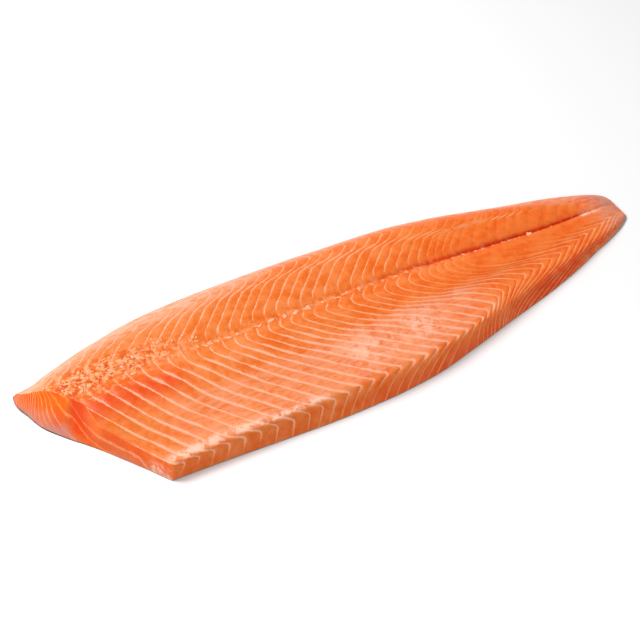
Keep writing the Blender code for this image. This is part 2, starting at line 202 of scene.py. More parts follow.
# Film along the back edge: how far down it reaches and how strong it is, at places along the fish
FILM_X = [-300, -200, -100, -80, -40, -20, 20, 100, 200, 260, 300]
FILM_END = [0.28, 0.275, 0.27, 0.257, 0.23, 0.21, 0.17, 0.16, 0.18, 0.28, 0.36]
FILM_STRENGTH = [0.9, 1, 1, 1, 0.8, 0.7, 0.7, 0.7, 0.7, 0.7, 0.7]

# Colours
BRIGHT_HEAD = (0.74, 0.156, 0.011, 1)
BRIGHT_TAIL = (0.89, 0.134, 0.006, 1)
PALE_HEAD = (0.81, 0.235, 0.065, 1)
PALE_TAIL = (0.92, 0.20, 0.030, 1)
CUT_BRIGHT = (0.77, 0.110, 0.008, 1)
CUT_PALE = (0.80, 0.155, 0.025, 1)
# Painted light: brighter, redder copies of the cut face's colours for its lit upper part
CUT_LIT = (0.85, 0.098, 0.001, 1)
CUT_LIT_PALE = (0.88, 0.145, 0.002, 1)
# Deep flesh colour, which is also laid as painted shade in the furrow, on the side wall and in the recess of
# the head cut
DEEP_FLESH_AND_SHADE = (0.74, 0.058, 0.001, 1)
CREAM_LINE = (0.92, 0.34, 0.10, 1)
WHITE_LINE = (0.93, 0.43, 0.265, 1)
TORN_GAP = (0.66, 0.075, 0.005, 1)
TORN_FLECK = (0.92, 0.40, 0.22, 1)
FAT = (0.96, 0.58, 0.42, 1)
BACK_FILM = (0.90, 0.41, 0.265, 1)
CUT_FILM = (0.62, 0.22, 0.15, 1)
# Grey film colour, which is also laid as painted shade on the lower part of the cut face
GREY_FILM_AND_SHADE = (0.52, 0.25, 0.22, 1)
TISSUE_WHITE = (0.97, 0.52, 0.36, 1)
TISSUE_STAIN = (0.90, 0.33, 0.12, 1)
SKIN_SILVER = (0.46, 0.47, 0.47, 1)
SKIN_BACK = (0.085, 0.10, 0.11, 1)
SKIN_BELLY = (0.72, 0.70, 0.67, 1)
SKIN_GLINT = (0.75, 0.76, 0.77, 1)
SKIN_SPOT = (0.012, 0.014, 0.016, 1)
LINING = (0.50, 0.36, 0.33, 1)
LINING_TAIL = (0.33, 0.33, 0.38, 1)
SKIN_EDGE_BELLY = (0.40, 0.24, 0.19, 1)
SKIN_EDGE_BACK = (0.045, 0.038, 0.05, 1)
FLOOR_COLOUR = (0.93, 0.93, 0.93, 1)

# Gloss of the flesh
FLESH_GLOSS = {"Specular IOR Level": 0.14, "Subsurface Weight": 0.12, "Subsurface Radius": (1.0, 0.35, 0.15),
               "Subsurface Scale": 0.002, "Coat Weight": 0.12, "Coat Roughness": 0.16}

# Middle of the footprint, taken off so that the origin is at its centre
CENTRE_X = 26.8
CENTRE_Y = -25.0

# Photograph: the camera looks down at the middle of the lines plan
CAMERA_DISTANCE = 1.415
CAMERA_AZIMUTH = 28.6
CAMERA_ELEVATION = 41.0
CAMERA_LENS = 90.0
CAMERA_SENSOR = 36.0

# Studio, in metres and watts: where each lamp stands, its width and height, and its power
LAMPS = {"key_light": [(-0.9, 0.75, 1.5), (1.0, 1.0), 33.6],
         "front_light": [(-0.3, -1.6, 1.3), (1.4, 0.9), 5.5]}
SKY_STRENGTH = 0.46
FLOOR_HALF = 6.0


# Curves and noise

def smooth_through(x, knots, values):
    """Monotone curve through the values; values may hold one column for each x."""
    knots = np.asarray(knots, float)
    values = np.asarray(values, float)
    x = np.asarray(x, float)
    if values.ndim == 1:
        values = values[:, None]
    wide = values.shape[1] > 1
    step = np.diff(knots)[:, None]
    rise = np.diff(values, axis=0) / step
    slope = np.zeros_like(values)
    before = rise[:-1]
    after = rise[1:]
    weight_a = 2 * step[1:] + step[:-1]
    weight_b = step[1:] + 2 * step[:-1]
    same = before * after > 0
    safe_before = np.where(same, before, 1.0)
    safe_after = np.where(same, after, 1.0)
    mean = (weight_a + weight_b) / (weight_a / safe_before + weight_b / safe_after)
    slope[1:-1] = np.where(same, mean, 0.0)
    slope[0] = rise[0]
    slope[-1] = rise[-1]
    part = np.clip(np.searchsorted(knots, x, side="right") - 1, 0, len(knots) - 2)
    t = np.clip((x - knots[part]) / step[part, 0], 0.0, 1.0)
    column = np.arange(x.size) if wide else np.zeros(x.size, int)
    y0 = values[part, column]
    y1 = values[part + 1, column]
    m0 = slope[part, column] * step[part, 0]
    m1 = slope[part + 1, column] * step[part, 0]
    t2 = t * t
    t3 = t2 * t
    return (2 * t3 - 3 * t2 + 1) * y0 + (t3 - 2 * t2 + t) * m0 + (3 * t2 - 2 * t3) * y1 + (t3 - t2) * m1


def bell(x, centre, width):
    """1 at the centre, fading to nothing."""
    return np.exp(-(((x - centre) / width) ** 2))


def ramp(x, start, end):
    """Smooth step from 0 at start to 1 at end."""
    t = np.clip((x - start) / (end - start), 0.0, 1.0)
    return t * t * (3 - 2 * t)


def band(x, low, high, soft):
    """1 between low and high, fading over soft outside."""
    return ramp(x, low - soft, low) * (1 - ramp(x, high, high + soft))


def lumps(points, size, seed):
    """Smooth noise between -1 and 1 at each point, with lumps of the given size."""
    lattice = np.random.default_rng(seed).uniform(-1, 1, (32, 32, 32))
    place = np.asarray(points, float) / size + 1000.0
    cell = np.floor(place).astype(int)
    t = place - cell
    t = t * t * (3 - 2 * t)
    total = np.zeros(len(place))
    for corner in range(8):
        step = np.array([corner & 1, (corner >> 1) & 1, (corner >> 2) & 1])
        share = np.prod(np.where(step, t, 1 - t), axis=1)
        at = (cell + step) % 32
        total += share * lattice[at[:, 0], at[:, 1], at[:, 2]]
    return total


# Form of the fillet

def along(x, values):
    """Value of the lines plan at x."""
    return smooth_through(x, STATION, values)


def line_lean(share, x):
    """How far a white line runs along the fish for each step across it."""
    def at(values):
        return np.interp(x, LEAN_X, values)

    fold = at(FOLD_AT)
    top = -at(BACK_PINCH) * bell(share, at(BACK_PINCH_AT), 0.014)
    top = top - at(LOIN_LEAN) * (ramp(share, 0.14, 0.20) - ramp(share, 0.33, 0.40))
    top = top + at(BACK_TURN) * (1 - ramp(share, 0.12, 0.18))
    top = top - at(MIDDLE_LEAN) * bell(share, 0.442, 0.030)
    start = at(BELLY_FROM)
    top = top + at(BELLY_LEAN) * ramp(share, start, start + 0.08)
    top = top + at(CALM_LEAN) * band(share, 0.47, 0.60, 0.03)
    top = top + at(LOWER_LEAN) * ramp(share, 0.62, 0.76)
    top = top + at(BELLY_PINCH) * bell(share, at(BELLY_PINCH_AT), 0.040)
    straighten = 0.45 * ramp(share, fold + 0.06, fold + 0.14) * (1 - ramp(x, 130, 190))
    edge = at(EDGE_AT)
    side = -at(FOLD_LEAN) * (1 - straighten) - at(EDGE_LEAN) * ramp(share, edge, edge + 0.05)
    folded = ramp(share, fold - 0.019, fold + 0.019)
    return top * (1 - folded) + side * folded


def line_places(numbers, shares):
    """x of each white line at each share of the section, walked from the reference row."""
    x = np.arange(-400.0, 420.5, 0.5)
    spacing = np.interp(x, SPACING_X, SPACING)
    count = np.concatenate([[0.0], np.cumsum(0.5 * (1 / spacing[1:] + 1 / spacing[:-1]) * np.diff(x))])
    count = count - np.interp(REFERENCE_X, x, count)
    start = np.interp(numbers, count, x)
    step = WALK_STEP
    grid = np.arange(0.0, 1.0 + step / 2, step)
    first = int(round(REFERENCE_SHARE / step))
    walked = np.zeros((len(grid), len(numbers)))
    walked[first] = start
    for i in range(first, len(grid) - 1):
        middle = walked[i] + 0.5 * step * line_lean(grid[i], walked[i])
        walked[i + 1] = walked[i] + step * line_lean(grid[i] + 0.5 * step, middle)
    for i in range(first, 0, -1):
        middle = walked[i] - 0.5 * step * line_lean(grid[i], walked[i])
        walked[i - 1] = walked[i] - step * line_lean(grid[i] - 0.5 * step, middle)
    return np.array([np.interp(shares, grid, walked[:, k]) for k in range(len(numbers))])


def top_point(x, share):
    """Point on the upper face of the flesh, without its relief."""
    under = SKIN_THICKNESS + LAYER_GAP
    back_y = along(x, BACK_Y)
    back_z = along(x, BACK_Z)
    loin_z = along(x, LOIN_Z)
    square = along(x, BACK_SQUARE)
    middle_y = along(x, MIDDLE_Y)
    middle_z = along(x, MIDDLE_Z)
    crest_y = along(x, CREST_Y)
    crest_z = along(x, CREST_Z)
    belly_y = along(x, BELLY_Y)
    loin = back_y - middle_y
    belly = middle_y - crest_y
    knots_y = [back_y - under]
    knots_y += [back_y - place * loin for place in LOIN_PLACE]
    knots_y += [middle_y]
    knots_y += [middle_y - place * belly for place in BELLY_PLACE]
    knots_y += [crest_y, belly_y]
    knots_z = [back_z]
    knots_z += [back_z + rise * square * (loin_z - back_z) for rise in LOIN_RISE]
    knots_z += [loin_z, 0.35 * loin_z + 0.65 * middle_z + 0.3, middle_z - 0.8, middle_z - 0.2]
    knots_z += [middle_z + fall * (crest_z - middle_z) for fall in BELLY_FALL]
    knots_z += [crest_z, np.full_like(x, under)]
    y = smooth_through(share, SECTION_SHARE, np.array(knots_y))
    z = smooth_through(share, SECTION_SHARE, np.array(knots_z))
    return np.stack([x, y, z], axis=1)


def under_point(x, share, inset, rim):
    """Point on the underside, inset from the outer skin: flat from the belly, then turned up at the back."""
    back_y = along(x, BACK_Y) + rim
    back_z = along(x, BACK_Z)
    belly_y = along(x, BELLY_Y) - rim
    turn_up = TURN_UP_FRONT + (TURN_UP_TAIL - TURN_UP_FRONT) * ramp(x, 200, 420)
    turn_y = back_y - turn_up * (back_y - belly_y)
    angle = np.clip((share - FLAT_SHARE) / (1 - FLAT_SHARE), 0.0, 1.0) * (np.pi / 2)
    flat_y = belly_y + (turn_y - belly_y) * np.clip(share / FLAT_SHARE, 0.0, 1.0)
    y = np.where(share <= FLAT_SHARE, flat_y, turn_y + (back_y - turn_y - inset) * np.sin(angle))
    z = np.where(share <= FLAT_SHARE, inset, back_z - (back_z - inset) * np.cos(angle))
    return np.stack([x, y, z], axis=1)


def surface_normal(x, share):
    """Outward direction of the upper face."""
    step_x = top_point(x + 0.5, share) - top_point(x - 0.5, share)
    step_s = top_point(x, np.clip(share + 0.004, 0, 1)) - top_point(x, np.clip(share - 0.004, 0, 1))
    normal = np.cross(step_s, step_x)
    length = np.linalg.norm(normal, axis=1, keepdims=True)
    return normal / np.maximum(length, 1e-9)


def past_scoop_edge(y, height):
    """How far towards the belly a place on the cut face is from the edge of its recess."""
    down = 1 - np.clip(height, 0.0, 1.0)
    start, lean, bend = SCOOP_START
    return start - lean * down - bend * down ** 3 - y


def cut_place(y, z):
    """x of the blade's face at a place across and above the ground."""
    place = smooth_through(y, CUT_Y, CUT_X) + z * smooth_through(y, CUT_Y, CUT_LEAN)
    past = past_scoop_edge(y, z / SCOOP_TOP)
    hollow = ramp(past, *SCOOP_RIM) * (1 - ramp(past, *SCOOP_END)) * bell(z, SCOOP_Z, SCOOP_HALF)
    place = place + SCOOP_DEPTH * hollow
    return place - CUT_CROWN * bell(y, *CROWN_Y) * bell(z, *CROWN_Z)


# Features of the flesh, each as a strength between 0 and 1

def torn_zone(x, share):
    """Where the flesh is ragged: along the middle, and widest near the head."""
    middle = 0.30 * bell(share, 0.41, 0.022)
    head = bell(share, 0.375, 0.105 - 0.05 * ramp(x, -235, -130)) * (1 - ramp(x, -205, -95))
    return np.clip(np.maximum(middle, head), 0, 1) * (1 - ramp(x, 285, 310))


def flesh_relief(points, x, share, number):
    """Height over the smooth form."""
    phase = np.abs(number - np.round(number)) * 2
    between = ramp(phase, 0.0, 0.75)
    height = -SEGMENT_GROOVE + (SEGMENT_GROOVE + SEGMENT_BULGE) * between
    calm = 1 - 0.6 * bell(share, FURROW_SHARE, 0.05)
    smooth_tail = 1 - 0.8 * ramp(x, 150, 200) * band(share, 0.44, 0.60, 0.03)
    in_loin = LOIN_CALM + (1 - LOIN_CALM) * ramp(share, 0.44, 0.55)
    height = height * calm * smooth_tail * in_loin * ramp(share, 0.03, 0.28)
    height += SWELL_HEIGHT * lumps(points, SWELL_SIZE, 3) + DIMPLE_HEIGHT * lumps(points, DIMPLE_SIZE, 4)
    rough = lumps(points, TORN_SIZE, 5) + 0.5 * lumps(points, TORN_SIZE * 0.5, 6)
    height += TORN_HEIGHT * torn_zone(x, share) * (0.25 - np.abs(rough)) * 1.2
    height = height * ramp(share, 0.02, 0.14) * ramp(1 - share, 0.0, 0.08)
    height = height * ramp(FLESH_TAIL_X - x, *RELIEF_FADE_TAIL) * ramp(x - HEAD_STOCK_X, 0.0, 4.0)
    on_axis = np.stack([x, 0 * x, 0 * x], axis=1)
    ragged = 1 + 0.30 * lumps(on_axis, 9.0, 8)
    depth = np.interp(x, FURROW_X, FURROW_DEPTH) * ragged
    shift = FURROW_SHARE + 0.0035 * lumps(on_axis, 12.0, 9)
    bank = np.where(share < shift, bell(share, shift, FURROW_BANK), bell(share, shift, FURROW_WIDTH))
    return height - depth * (0.65 * bell(share, shift, FURROW_WIDTH) + 0.35 * bank)


# Meshes

def centred(points):
    """Places in the row's frame, in metres."""
    return (points - np.array([CENTRE_X, CENTRE_Y, 0.0])) * MM


def mesh_from(bm, name):
    mesh = bpy.data.meshes.new(name)
    bm.to_mesh(mesh)
    bm.free()
    return mesh


def linked(name, data):
    """New object in the scene that holds a mesh, a lamp or a camera."""
    made = bpy.data.objects.new(name, data)
    bpy.context.scene.collection.objects.link(made)
    return made


def read(items, name, kind, width=1):
    """One property of all the items of a mesh, in rows where an item has several values."""
    values = np.zeros(len(items) * width, kind)
    items.foreach_get(name, values)
    return values.reshape(-1, width) if width > 1 else values


def grid_body(name, table, uv_tables):
    """Closed tube over a table of points, with a flat face at each end and one UV map per table."""
    rows, columns = table.shape[:2]
    bm = bmesh.new()
    bmesh.ops.create_grid(bm, x_segments=rows - 1, y_segments=columns - 1, size=0.5)
    mesh = mesh_from(bm, name)
    flat = read(mesh.vertices, "co", float, 3)
    row = np.rint((flat[:, 0] + 0.5) * (rows - 1)).astype(int)
    column = np.rint((flat[:, 1] + 0.5) * (columns - 1)).astype(int)
    mesh.vertices.foreach_set("co", centred(table[row, column]).ravel())
    corner = read(mesh.loops, "vertex_index", int)
    for uv_name, uv_table in uv_tables.items():
        layer = mesh.uv_layers.new(name=uv_name)
        layer.data.foreach_set("uv", uv_table[row[corner], column[corner]].ravel())
    bm = bmesh.new()
    bm.from_mesh(mesh)
    bmesh.ops.remove_doubles(bm, verts=bm.verts, dist=WELD)
    rims = [edge for edge in bm.edges if edge.is_boundary]
    bmesh.ops.holes_fill(bm, edges=rims, sides=0)
    bmesh.ops.recalc_face_normals(bm, faces=bm.faces)
    bm.to_mesh(mesh)
    bm.free()
    return linked(name, mesh)


def top_shares():
    """Mesh columns over the top, closer together at the furrow and at the belly crest."""
    fine = np.linspace(0.0, 1.0, 2001)
    density = 1 + 1.6 * bell(fine, FURROW_SHARE, 0.025) + 0.7 * bell(fine, 0.88, 0.06)
    density = density + 0.6 * bell(fine, 0.06, 0.05) + 1.2 * bell(fine, 0.24, 0.03)
    total = np.concatenate([[0.0], np.cumsum(0.5 * (density[1:] + density[:-1]))])
    return np.interp(np.linspace(0, total[-1], TOP_COLUMNS), total, fine)


def flesh_tables():
    """Points of the flesh, and its UV maps: line number and share, then line spacing."""
    numbers = (np.arange(FIRST_LINE, END_LINE)[:, None] + np.array(LINE_STEPS)[None]).ravel()
    shares = top_shares()
    top_x = line_places(numbers, shares)
    under = np.array(UNDER_COLUMNS + [1.0])
    under_x = top_x[:, -1:] * (1 - under) + top_x[:, :1] * under
    x = np.concatenate([top_x, under_x], axis=1)
    x = np.where(x < HEAD_STOCK_X + ROW_SNAP, HEAD_STOCK_X, x)
    x = np.where(x > FLESH_TAIL_X - ROW_SNAP, FLESH_TAIL_X, x)
    used = (x.max(axis=1) > HEAD_STOCK_X) & (x.min(axis=1) < FLESH_TAIL_X)
    first = int(np.argmax(used)) - 1
    last = len(used) - int(np.argmax(used[::-1])) + 1
    numbers = numbers[first:last]
    top_x = x[first:last, :len(shares)]
    under_x = x[first:last, len(shares):]
    number, share = np.meshgrid(numbers, shares, indexing="ij")
    flat = top_point(top_x.ravel(), share.ravel())
    normal = surface_normal(top_x.ravel(), share.ravel())
    height = flesh_relief(flat, top_x.ravel(), share.ravel(), number.ravel())
    top = (flat + normal * height[:, None]).reshape(len(numbers), len(shares), 3)
    smooth = flat.reshape(top.shape)
    along_line = np.gradient(smooth, axis=1)
    along_line /= np.maximum(np.linalg.norm(along_line, axis=2, keepdims=True), 1e-9)
    step = np.gradient(smooth, axis=0) / np.gradient(numbers)[:, None, None]
    spacing = np.linalg.norm(step - along_line * np.sum(step * along_line, axis=2, keepdims=True), axis=2)
    bottom = [under_point(under_x[:, j], np.full(len(numbers), s), SKIN_THICKNESS + LAYER_GAP, 0.0)
              for j, s in enumerate(UNDER_COLUMNS)]
    table = np.concatenate([top, np.stack(bottom, axis=1), top[:, :1]], axis=1)
    hidden = [(0, 0), (0, table.shape[1] - len(shares))]
    number = np.repeat(numbers[:, None], table.shape[1], axis=1)
    share = np.pad(share, hidden, constant_values=HIDDEN_SHARE)
    spacing = np.pad(spacing, hidden, constant_values=HIDDEN_SPACING)
    segments = np.stack([number / NUMBER_RANGE + 0.5, share], axis=2)
    widths = np.stack([np.clip(spacing, 1.0, SPACING_RANGE) / SPACING_RANGE, share * 0], axis=2)
    return table, {"segments": segments, "widths": widths}


def face_number(y, height):
    """Count of the lines on the cut face at a place across it and a share of its height."""
    foot = np.array(FACE_FOOT_Y, float)[:, None]
    head = np.array(FACE_HEAD_Y, float)[:, None]
    bend = np.array(FACE_BEND, float)[:, None]
    t = (y[None] - foot) / (head - foot)
    level = np.where(t > 0, np.abs(t) ** bend, t)
    last = t[-1]
    shelf = FACE_SHELF * ramp(last, 0.0, 0.14) + (1 - FACE_SHELF) * ramp(last, 0.66, 1.0)
    shelf = shelf + np.minimum(last, 0)
    level[-1] = np.where(last > 1, last, shelf)
    level = np.concatenate([level, np.maximum(level[-1:] + 0.30, 1.0)])
    level = np.maximum.accumulate(level, axis=0)
    level = level + np.arange(len(level))[:, None] * 1e-4
    number = np.array([np.interp(height[i], level[:, i], np.arange(len(level))) for i in range(len(y))])
    dense_end, dense = FACE_DENSE
    return np.where(number < dense_end, dense_end + (number - dense_end) * dense, number)


def top_height(stations):
    """Height of the top edge of the cut face across the fish."""
    share = np.linspace(0, 1, 200)
    found = np.zeros_like(stations)
    for i, place in enumerate(stations):
        z = 20.0
        for _ in range(3):
            x = cut_place(np.array([place]), np.array([z]))
            edge = top_point(np.full_like(share, x[0]), share)
            z = float(np.interp(-place, -edge[:, 1], edge[:, 2]))
        found[i] = z
    return found


def blade(name, detail):
    """Block in front of the head cut; its curved face is the cut."""
    across, up = BLADE_FACES
    bm = bmesh.new()
    bmesh.ops.create_grid(bm, x_segments=across, y_segments=up, size=0.5)
    grid = list(bm.verts)
    made = bmesh.ops.extrude_face_region(bm, geom=list(bm.faces), use_keep_orig=True)
    pushed = [item for item in made["geom"] if isinstance(item, bmesh.types.BMVert)]
    low = np.array(BLADE_LOW)
    high = np.array(BLADE_HIGH)
    share = np.array([[v.co.x + 0.5, v.co.y + 0.5] for v in grid])
    place = low + (high - low) * share
    y, z = place[:, 0], place[:, 1]
    stations = np.linspace(low[0], high[0], FACE_STATIONS)
    tops = np.maximum(np.interp(y, stations, top_height(stations)), 2.0)
    number = face_number(y, np.clip(z / tops, 0.0, 1.3))
    x = cut_place(y, z)
    if detail:
        ridge = np.abs(number - np.round(number)) * 2
        points = np.stack([x, y, z], axis=1)
        x = x - FACE_GROOVE * ramp(ridge, 0.0, 0.7) - FACE_SWELL * lumps(points, FACE_SWELL_SIZE, 21)
        x = x - FACE_DIMPLE * lumps(points, FACE_DIMPLE_SIZE, 22)
    front = centred(np.stack([x, y, z], axis=1))
    for vertex, co in zip(grid, front):
        vertex.co = co
    for vertex in pushed:
        back_y, back_z = low + (high - low) * (np.array(vertex.co[:2]) + 0.5)
        vertex.co = centred(np.array([BLADE_BACK_X, back_y, back_z]))
    uv = bm.loops.layers.uv.new("segments")
    widths = bm.loops.layers.uv.new("widths")
    by_vertex = {vertex: (n, h) for vertex, n, h in zip(grid, number, z / tops)}
    for face in bm.faces:
        for loop in face.loops:
            n, h = by_vertex.get(loop.vert, (0.0, 0.0))
            loop[uv].uv = (n / NUMBER_RANGE + 0.5, h)
            loop[widths].uv = (0.1, 0.0)
    bmesh.ops.recalc_face_normals(bm, faces=bm.faces)
    return linked(name, mesh_from(bm, name))


def cut_head(body, cutter):
    """Takes the blade's block out of the body and keeps the result as the body's mesh."""
    cut = body.modifiers.new("head_cut", "BOOLEAN")
    cut.operation = "DIFFERENCE"
    cut.solver = "EXACT"
    cut.material_mode = "TRANSFER"
    cut.object = cutter
    graph = bpy.context.evaluated_depsgraph_get()
    mesh = bpy.data.meshes.new_from_object(
        body.evaluated_get(graph), preserve_all_data_layers=True, depsgraph=graph)
    mesh.name = body.name
    body.modifiers.clear()
    body.data = mesh


def corners(mesh):
    """Place, share of the section and line spacing at each face corner."""
    index = read(mesh.loops, "vertex_index", int)
    points = read(mesh.vertices, "co", float, 3)[index] / MM + np.array([CENTRE_X, CENTRE_Y, 0.0])
    share = read(mesh.uv_layers["segments"].data, "uv", float, 2)[:, 1]
    return points, share, read(mesh.uv_layers["widths"].data, "uv", float, 2)[:, 0] * SPACING_RANGE


def corner_slots(mesh):
    """Material slot of the face that each corner belongs to."""
    slots = read(mesh.polygons, "material_index", int)
    return np.repeat(slots, read(mesh.polygons, "loop_total", int))


def keep(mesh, name, values):
    """Keeps a value for each face corner, for the materials to read."""
    made = mesh.attributes.new(name, "FLOAT", "CORNER")
    made.data.foreach_set("value", np.asarray(values, np.float32))


def line_look(x, share):
    """Half width of the white lines, how far they waver (both in millimetres) and how white they are."""
    fold_at = np.interp(x, LEAN_X, FOLD_AT)
    belly_from = np.interp(x, [-240, -150, -100, -40, 20, 90], [0.50, 0.53, 0.55, 0.57, 0.63, 0.65])
    belly = ramp(share, belly_from - 0.05, belly_from) * (1 - ramp(share, 0.86, 0.91))
    belly = belly * (ramp(x, -240, -175) - ramp(x, 105, 165))
    pinch = bell(share, np.interp(x, LEAN_X, BACK_PINCH_AT), 0.020) * band(x, -90, 215, 40)
    fold = bell(share, fold_at, 0.035) * band(x, -160, 300, 30)
    side = ramp(share, fold_at + 0.015, fold_at + 0.06)
    half = 0.48 + 0.52 * belly * (1 - side) + 0.14 * pinch + 0.20 * fold
    loin_pale = 0.90 - 0.14 * ramp(x, -110, 40) - 0.60 * ramp(x, 60, 175)
    belly_pale = 0.88 - 0.20 * ramp(x, 110, 190)
    below = ramp(share, belly_from - 0.04, belly_from + 0.04)
    pale = np.minimum(loin_pale, 0.88) * (1 - below) + belly_pale * below
    pale = pale * (1 - 0.95 * ramp(x, 140, 180) * band(share, 0.41, 0.57, 0.06))
    pale = pale * (1 - 0.85 * band(share, 0.385, 0.425, 0.015) * ramp(x, -150, -90))
    pale = pale * (1 - 0.75 * (1 - ramp(x, -130, -70)) * (1 - ramp(share, 0.10, 0.20)))
    pale = np.maximum(pale, 0.70 * pinch)
    pale = np.maximum(pale, 0.74 * (1 - ramp(share, 0.13, 0.18)) * band(x, -50, 190, 30))
    pale = pale * (1 - side * (0.72 - 0.36 * ramp(x, -150, -95) - 0.16 * ramp(x, 90, 150)))
    by_row = band(share, 0.19, 0.255, 0.025) * (1 - ramp(x, 235, 260))
    pale = pale * (1 - 0.85 * ramp(x, 110, 190) * (1 - ramp(share, 0.38, 0.44)) * (1 - by_row))
    waver = 1.1 - 0.55 * ramp(share, 0.44, 0.60) + 5.0 * torn_zone(x, share) * (1 - ramp(x, -160, -40))
    return half, waver, np.clip(pale, 0, 1)


def top_look(x, share, spacing):
    """Strengths on the upper face: the white lines, film, grey film, fat, deep colour with painted shade, and
    torn flesh.
    """
    half, waver, pale = line_look(x, share)
    film_end = np.interp(x, FILM_X, FILM_END)
    film = (1 - ramp(share, 0.55 * film_end, film_end)) * np.interp(x, FILM_X, FILM_STRENGTH)
    film = np.maximum(film, 0.36 * band(share, 0.68, 0.83, 0.06) * band(x, -140, 100, 60))
    film = np.maximum(film, 0.45 * ramp(x, 278, 306))
    tip = ramp(x, 297, 321) * (0.30 + 0.45 * bell(share, 0.30, 0.30))
    grey = np.maximum(tip, 0.55 * (1 - ramp(share, 0.004, 0.02)))
    crest_at = np.interp(x, [-200, -140, -100, -60], [0.840, 0.838, 0.864, 0.862])
    crest = 1.0 * bell(share, crest_at, 0.020) * band(x, -185, -62, 22)
    streak = 1.8 * bell(share, 0.432, 0.034) * bell(x, 296, 12)
    haze = 0.65 * bell(share, 0.74, 0.07) * (bell(x, 5, 24) + bell(x, 62, 24))
    back_rim = 0.30 * bell(share, 0.085, 0.035) * band(x, -60, 110, 40)
    fat = np.clip(crest + streak + haze + back_rim, 0, 1)
    # Painted shade: deep colour in the furrow and on the loin's bank above it
    furrow = 0.9 * bell(share, FURROW_SHARE - 0.004, 0.013) * ramp(x, 20, 140) * (1 - ramp(x, 285, 300))
    bank = 0.12 * band(share, 0.345, 0.40, 0.05) * ramp(x, 40, 130) * (1 - ramp(x, 270, 300))
    # Painted shade on the side wall near the belly edge, stronger towards the tail
    to_tail = ramp(x, 125, 205)
    side = 0.22 + 0.35 * ramp(x, -60, 20) + 0.38 * to_tail - 0.50 * ramp(x, 262, 300)
    side = side * ramp(share, 0.89 - 0.07 * to_tail, 0.97 - 0.05 * to_tail)
    pocket = 0.80 * bell(share, 0.55, 0.07) * band(x, -262, -165, 35)
    bruise = 0.8 * bell(x, 309, 6) * bell(share, 0.12, 0.12)
    deep = np.clip(furrow + bank + side + pocket + bruise, 0, 1)
    return {"line_half": half / np.maximum(spacing, 1.5), "line_waver": waver / np.maximum(spacing, 2.0),
            "line_pale": pale, "film": film, "grey": grey, "fat": fat, "deep": deep,
            "torn": torn_zone(x, share), "lit": 0.0 * x}


def cut_look(y, share):
    """The same strengths on the face of the head cut, with painted shade in its recess and low down, and
    painted light on its upper part.
    """
    past = past_scoop_edge(y, share)
    in_scoop = ramp(past, -1.5, 0.5) * (1 - ramp(past, 40, 60))
    face_film = 0.75 * (1 - ramp(share, 0.10, 0.55)) * band(y, -30, 22, 8)
    belly_film = 0.55 * (1 - ramp(share, 0.10, 0.45)) * ramp(-y, 58, 80)
    face_film = np.maximum(face_film * (1 - in_scoop), belly_film)
    face_film = np.maximum(face_film, 0.60 * ramp(y, 14, 26))
    face_grey_and_shade = 0.55 * (1 - ramp(share, 0.02, 0.22)) * band(y, -34, 6, 8)
    face_grey_and_shade = face_grey_and_shade + 0.8 * bell(y, -24, 5) * bell(share, 0.13, 0.14)
    # Painted shade: the lower part of the cut face, around its middle, is darkened with the grey film colour
    face_grey_and_shade = face_grey_and_shade + 0.25 * (1 - ramp(share, 0.20, 0.65)) * band(y, -14, 14, 8)
    # Painted shade in the recess of the cut face, below its rim
    face_recess_shade = ramp(past, -1.5, 3.0) * (1 - ramp(past, 8, 30)) * ramp(share, 0.06, 0.28)
    face_fat = 0.85 * ramp(-y, 92, 102) * (1 - ramp(share, 0.35, 0.85))
    # Painted light: brighter, redder colour on the upper part of the cut face, away from its recess
    lit = ramp(share, 0.35, 0.70) * (1 - ramp(past, -3, 0)) * (1 - ramp(y, 14, 21))
    lit = np.maximum(lit, ramp(-y, 34, 50) * ramp(share, 0.40, 0.72))
    face_pale = 0.62 - 0.40 * ramp(share, 0.55, 0.85) * ramp(-y, -12, 2)
    face_pale = face_pale * (1 - 0.60 * ramp(past, -1, 2) * (1 - ramp(past, 12, 45)))
    return {"line_half": 0.10, "line_waver": 0.12, "line_pale": face_pale, "film": face_film,
            "grey": np.clip(face_grey_and_shade, 0, 1), "fat": face_fat, "deep": face_recess_shade, "torn": 0.0, "lit": lit}


def paint_flesh(mesh):
    """Keeps the strengths that the materials read."""
    points, share, spacing = corners(mesh)
    on_cut = corner_slots(mesh) == 1
    cut = cut_look(points[:, 1], share)
    for name, values in top_look(points[:, 0], share, spacing).items():
        keep(mesh, name, np.where(on_cut, cut[name], values))


def cut_body(name, tables, material, cutter, cut_material):
    """Body over a table of points, with its head end cut off."""
    body = grid_body(name, *tables)
    body.data.materials.append(material)
    cutter.data.materials.append(cut_material)
    cut_head(body, cutter)
    body.data.shade_smooth()
    body.data.set_sharp_from_angle(angle=SHARP_ANGLE)
    return body


def make_flesh(cutter):
    top = flesh_material("raw_flesh_top", False)
    body = cut_body("salmon_flesh", flesh_tables(), top, cutter, flesh_material("raw_flesh_cut", True))
    paint_flesh(body.data)
    return body


